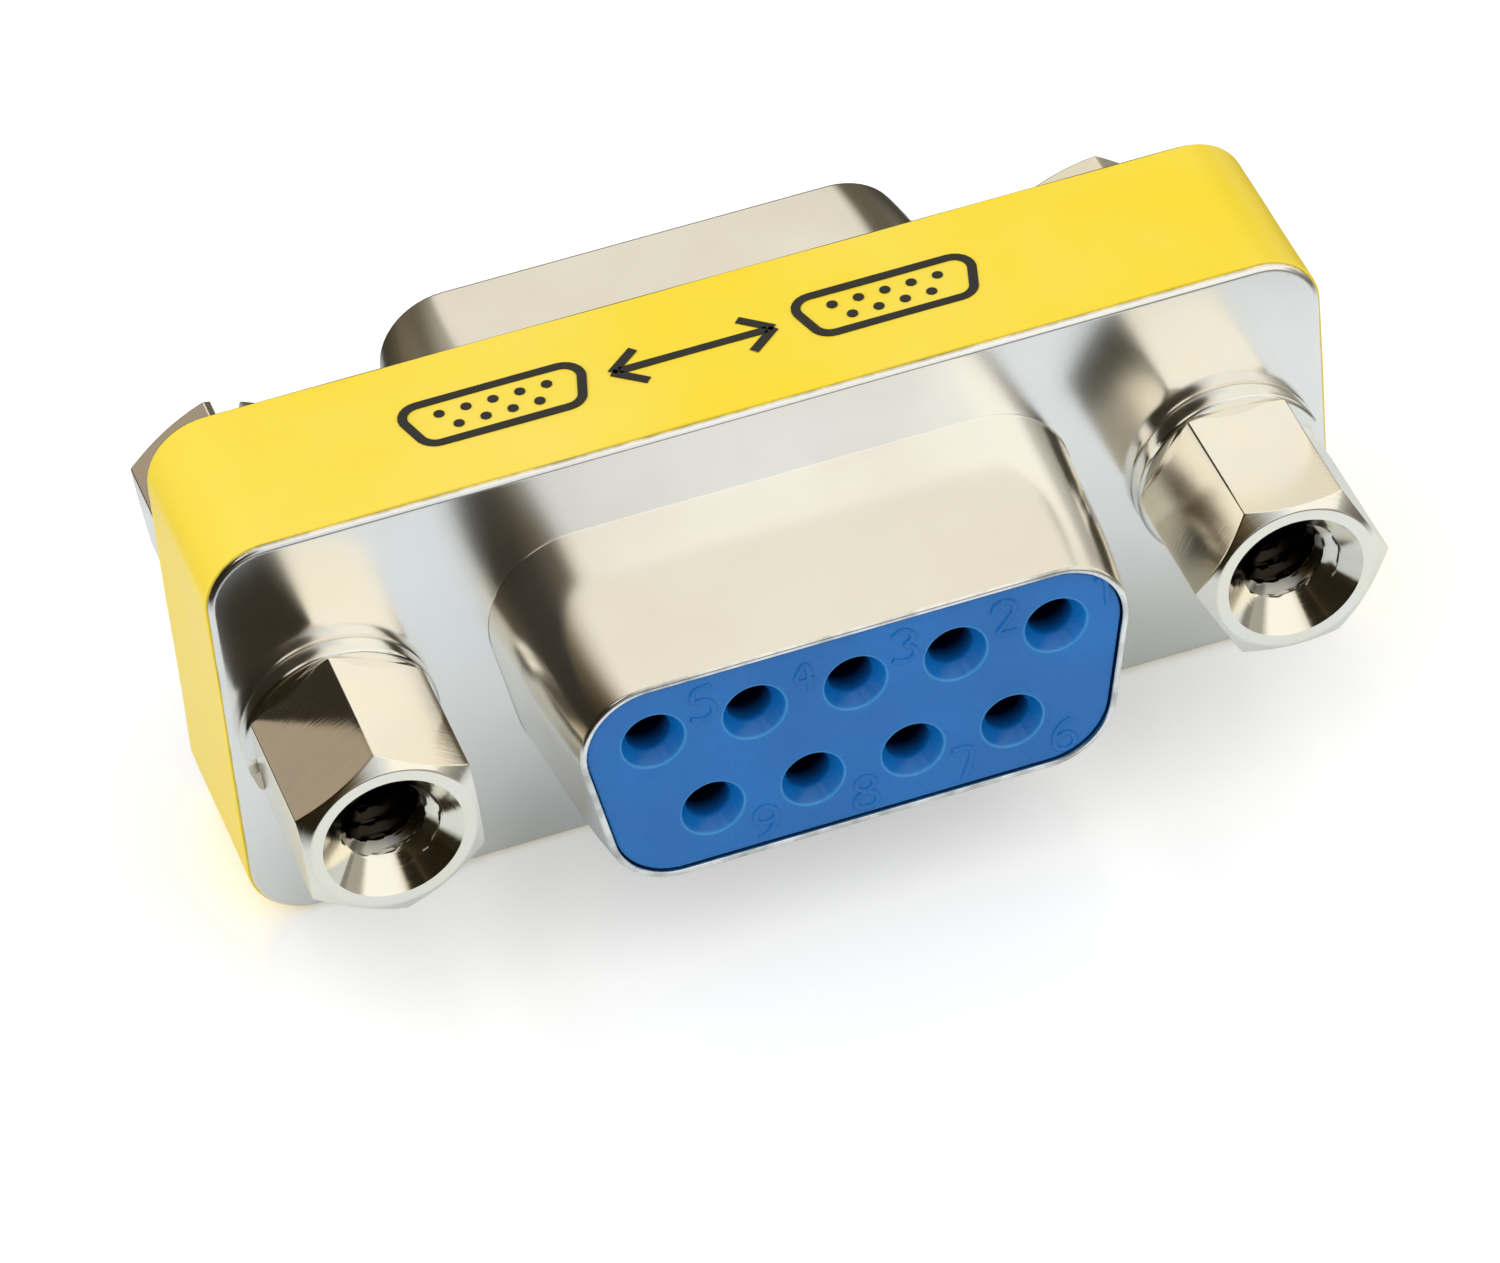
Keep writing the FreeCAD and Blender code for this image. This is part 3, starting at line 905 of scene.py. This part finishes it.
def brass_finish():
    """Bright brass, a little tarnished in patches."""
    f = Finish("contact_brass", Metallic=1.0)
    brass = tint("brass")
    patches, tarnished = f.patches(brass, scaled(brass, 0.7), 500.0, 4.0, 0.35)
    f.join(tarnished, "Base Color")
    f.join(f.spread(patches, 0.3, 0.7, 0.2, 0.38), "Roughness")
    return f.material


def board_finish():
    """Green board with the weave just showing."""
    f = Finish("board", Roughness=0.45)
    green = tint("board")
    weave, woven = f.patches(green, scaled(green, 1.4), 2500.0, 1.0, 0.0, 1.0)
    f.join(woven, "Base Color")
    f.bump(weave, 0.1, 0.02 * MM)
    return f.material


# Stage

# Azimuth from the front towards +x and elevation, in degrees, of the camera, the dark screen, the
# bright window above it, the lit side of the room, the glow behind and the pane behind on the left
CAMERA = (-15.017, 40.953)
SCREEN = (-75.0, 5.0)
WINDOW = (-71.0, 61.0)
LIT_SIDE = (70.1, 0.0)
GLOW = (169.0, 30.0)
PANE = (-144.0, 20.0)

CAMERA_ROLL = radians(6.013)
CAMERA_DISTANCE = 220.892 * MM
CAMERA_AIM = Vector((-0.789, -1.7629, 4.2274)) * MM
CAMERA_LENS = 198.11
SENSOR_WIDTH = 36.0
LAMP_AIM = Vector((0.0, 0.0, 6.0)) * MM
FLOOR_SIDE = 6.0
SHEET_MIDDLE_Y = -2.0 * MM
WORLD_ON_MATT = 0.86
FLOOR_LIFT = 0.235


def direction(azimuth, elevation):
    """Unit vector from the part towards an azimuth and an elevation given in degrees."""
    azimuth, elevation = radians(azimuth), radians(elevation)
    return Vector((cos(elevation) * sin(azimuth), -cos(elevation) * cos(azimuth), sin(elevation)))


def add_camera():
    """Camera at the photograph's view, with its right side dipped by the roll."""
    out = direction(*CAMERA)
    level = Vector((0.0, 0.0, 1.0)).cross(out).normalized()
    above = out.cross(level)
    right = level * cos(CAMERA_ROLL) - above * sin(CAMERA_ROLL)
    place = CAMERA_AIM + out * CAMERA_DISTANCE
    data = bpy.data.cameras.new("photo_view")
    data.lens = CAMERA_LENS
    data.sensor_width = SENSOR_WIDTH
    data.sensor_fit = "HORIZONTAL"
    data.clip_start = 0.01
    data.clip_end = 10.0
    camera = bpy.data.objects.new("photo_view", data)
    turn = Matrix((right, out.cross(right), out)).transposed()
    camera.matrix_world = Matrix.Translation(place) @ turn.to_4x4()
    link(camera)
    bpy.context.scene.camera = camera


def add_floor():
    """Glossy pale table: white to the camera apart from the part's shadow and faint mirror image. To
    the plating it is a cool grey sheet, which darkens with the distance from its middle."""
    half = FLOOR_SIDE / 2
    mesh = bpy.data.meshes.new("floor")
    square = [(-half, -half, 0.0), (half, -half, 0.0), (half, half, 0.0), (-half, half, 0.0)]
    mesh.from_pydata(square, [], [(0, 1, 2, 3)])
    floor = bpy.data.objects.new("floor", mesh)
    link(floor)

    f = Finish("floor", Roughness=0.22, Specular_IOR_Level=1.0, Emission_Color=WHITE)
    base = tint("floor")
    even = f.patches(base, scaled(base, 0.99), 3.0, 2.0, 0.2, 0.8)[1]
    oval = f.place((0.6, 1.0, 1.0), (0.0, -SHEET_MIDDLE_Y, 0.0))
    away = f.node("VectorMath", {0: oval}, operation="LENGTH").outputs["Value"]
    sheet = f.mix(f.spread(away, 19 * MM, 27 * MM), tint("floor_mirrored"), tint("room_dark"))
    path = f.node("LightPath").outputs
    f.join(f.mix(path["Is Glossy Ray"], even, sheet), "Base Color")
    f.join(f.math("MULTIPLY", path["Is Camera Ray"], FLOOR_LIFT), "Emission Strength")
    mesh.materials.append(f.material)


def add_lamp(name, place, size, power, tone):
    """Square soft light that faces the part, and that the plating doesn't mirror."""
    data = bpy.data.lights.new(name, "AREA")
    data.size = size
    data.energy = power
    data.color = tone
    lamp = bpy.data.objects.new(name, data)
    lamp.location = place
    lamp.rotation_euler = (LAMP_AIM - Vector(place)).to_track_quat("-Z", "Y").to_euler()
    lamp.visible_glossy = False
    link(lamp)


def set_world():
    """White to the camera and soft light on matt surfaces. To the plating it is a bright room,
    cooler low in front and dim low behind, with a dark screen on the left that thins to brown at its
    edge, and dark round the camera. Each patch grows smoothly with the cosine of the angle to its
    middle."""
    world = bpy.data.worlds.new("studio")
    bpy.context.scene.world = world
    world.use_nodes = True
    n = Nodes(world.node_tree)
    way = n.node("TexCoord").outputs["Generated"]
    across, depth, height = n.axes(way)

    def rise(value, low, high, to_low=0.0, to_high=1.0):
        return n.spread(value, low, high, to_low, to_high, "SMOOTHSTEP")

    def patch(middle, low, high, to_low=0.0, to_high=1.0):
        near = n.node("VectorMath", {0: way, 1: direction(*middle)},
                      operation="DOT_PRODUCT").outputs["Value"]
        return rise(near, low, high, to_low, to_high)

    lit = n.math("MAXIMUM", patch(LIT_SIDE, 0.43, 0.58), rise(height, 0.5, 0.72))
    dim_end = n.math("MULTIPLY", patch(LIT_SIDE, 0.88, 0.94), rise(height, 0.25, 0.45, 0.7, 0.0))
    front = n.mix(dim_end, n.mix(lit, tint("room_cool"), tint("room_front")), tint("room_low"))

    bright = n.math("MAXIMUM", rise(height, 0.38, 0.64), rise(across, 0.58, 0.66))
    bright = n.math("MAXIMUM", bright, patch(GLOW, 0.972, 0.992))
    behind = n.mix(bright, tint("room_low"), tint("room_back"))

    dark = n.math("MAXIMUM", patch(SCREEN, -0.1, 0.82), patch(CAMERA, 0.965, 0.992))
    dark = n.math("MINIMUM", dark, patch(WINDOW, 0.955, 0.985, 1.0, 0.0))
    room = n.mix(rise(depth, -0.4, 0.4), front, behind)
    room = n.mix(rise(dark, 0.0, 0.75), room, tint("room_umber"))
    room = n.mix(rise(dark, 0.35, 1.0), room, tint("room_dark"))
    room = n.mix(patch(PANE, 0.988, 0.996), room, tint("room_pane"))

    path = n.node("LightPath").outputs
    background = n.tree.nodes["Background"].inputs
    n.tree.links.new(n.mix(path["Is Glossy Ray"], WHITE, room), background["Color"])
    n.tree.links.new(n.spread(path["Is Diffuse Ray"], 0.0, 1.0, 1.0, WORLD_ON_MATT),
                     background["Strength"])


# Operators

def put_both_ends(skin, suffix, sharp_deg, finish, node):
    """Place a skin at the front and, turned end for end, at the rear."""
    for end, made in (("front", skin), ("rear", skin.turned_end_for_end())):
        put(made.mesh(end + suffix, sharp_deg), finish, [end + node])


def at_each_screw(build, turn_deg):
    """Name, x and skin of the piece at each screw. A rear one is built mirrored, then turned."""
    for side, x in (("left", -SCREW_X), ("right", SCREW_X)):
        front, rear = "front_" + side, "rear_" + side
        yield front, x, build(x, turn_deg[front])
        yield rear, x, build(-x, 180 - turn_deg[rear]).turned_end_for_end()


class ChangerShells(Operator):
    """Build both drawn shells"""
    bl_idname = "changer.shells"
    bl_label = "Shells"

    def execute(self, context):
        put_both_ends(shell_skin(), "_shell_skin", None, nickel_finish(), "_shell")
        return {"FINISHED"}


class ChangerInsulators(Operator):
    """Build both blue insulators with their numbered holes"""
    bl_idname = "changer.insulators"
    bl_label = "Insulators"

    def execute(self, context):
        put_both_ends(insulator_skin(), "_insulator_block", SOFT_DEG, insulator_finish(),
                      "_insulator")
        return {"FINISHED"}


class ChangerLabel(Operator):
    """Build the yellow label and the sign printed on it"""
    bl_idname = "changer.label"
    bl_label = "Label"

    def execute(self, context):
        put(label_skin().mesh("label_strip", SOFT_DEG), label_finish(),
            ["label_band"])
        put(label_print_skin().mesh("label_print", 30), print_finish())
        return {"FINISHED"}


class ChangerStandoffs(Operator):
    """Build the four hex jack standoffs"""
    bl_idname = "changer.standoffs"
    bl_label = "Standoffs"

    def execute(self, context):
        finish = turned_nickel_finish()
        for name, x, skin in at_each_screw(standoff_skin, CORNER_DEG):
            mesh = skin.mesh(name + "_jack", TURNED_DEG)
            if name in SLOT_DEG:
                mesh = slotted(mesh, x, END_Y, SLOT_DEG[name])
            put(mesh, finish, [name + "_standoff"])
        return {"FINISHED"}


class ChangerWashers(Operator):
    """Build the four split lock washers"""
    bl_idname = "changer.washers"
    bl_label = "Washers"

    def execute(self, context):
        finish = washer_finish()
        for name, _, skin in at_each_screw(washer_skin, GAP_DEG):
            put(skin.mesh(name + "_ring", SOFT_DEG), finish, [name + "_washer"])
        return {"FINISHED"}


class ChangerInner(Operator):
    """Finish the contacts, sleeves and board that stay as modelled"""
    bl_idname = "changer.inner"
    bl_label = "Inner pieces"

    def execute(self, context):
        brass = brass_finish()
        board = board_finish()
        for name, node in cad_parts.items():
            if "contact" in name or "sleeve" in name or name == "cross_board":
                node.data.materials.clear()
                node.data.materials.append(board if name == "cross_board" else brass)
        return {"FINISHED"}


class ChangerStage(Operator):
    """Set the table, lights, reflections and the camera"""
    bl_idname = "changer.stage"
    bl_label = "Stage"

    def execute(self, context):
        add_camera()
        add_floor()
        set_world()
        add_lamp("key", (-0.25, 0.1, 0.55), 0.8, 0.55, (1.0, 0.98, 0.95))
        add_lamp("left", (-0.5, -0.1, 0.15), 0.4, 0.9, (1.0, 1.0, 1.0))
        add_lamp("fill", (0.35, -0.35, 0.4), 0.5, 0.6, (0.96, 0.98, 1.0))
        context.scene.view_settings.view_transform = "Standard"
        return {"FINISHED"}


OPERATORS = (ChangerShells, ChangerInsulators, ChangerLabel, ChangerStandoffs, ChangerWashers,
             ChangerInner, ChangerStage)


class ChangerPanel(Panel):
    """Lists the steps that build the gender changer"""
    bl_idname = "VIEW3D_PT_changer"
    bl_label = "Gender changer"
    bl_space_type = "VIEW_3D"
    bl_region_type = "UI"
    bl_category = "Changer"

    def draw(self, context):
        column = self.layout.column(align=True)
        for step in OPERATORS:
            column.operator(step.bl_idname)
        for group in (context.scene.changer_sizes, context.scene.changer_colours):
            for name in group.__annotations__:
                self.layout.prop(group, name)


CLASSES = (ChangerSizes, ChangerColours) + OPERATORS + (ChangerPanel,)


def register():
    for made in CLASSES:
        bpy.utils.register_class(made)
    bpy.types.Scene.changer_sizes = PointerProperty(type=ChangerSizes)
    bpy.types.Scene.changer_colours = PointerProperty(type=ChangerColours)


def unregister():
    del bpy.types.Scene.changer_colours
    del bpy.types.Scene.changer_sizes
    for made in reversed(CLASSES):
        bpy.utils.unregister_class(made)


def main():
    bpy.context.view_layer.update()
    register()
    bpy.ops.changer.shells()
    bpy.ops.changer.insulators()
    bpy.ops.changer.label()
    bpy.ops.changer.standoffs()
    bpy.ops.changer.washers()
    bpy.ops.changer.inner()
    bpy.ops.changer.stage()


if __name__ == "__main__":
    main()
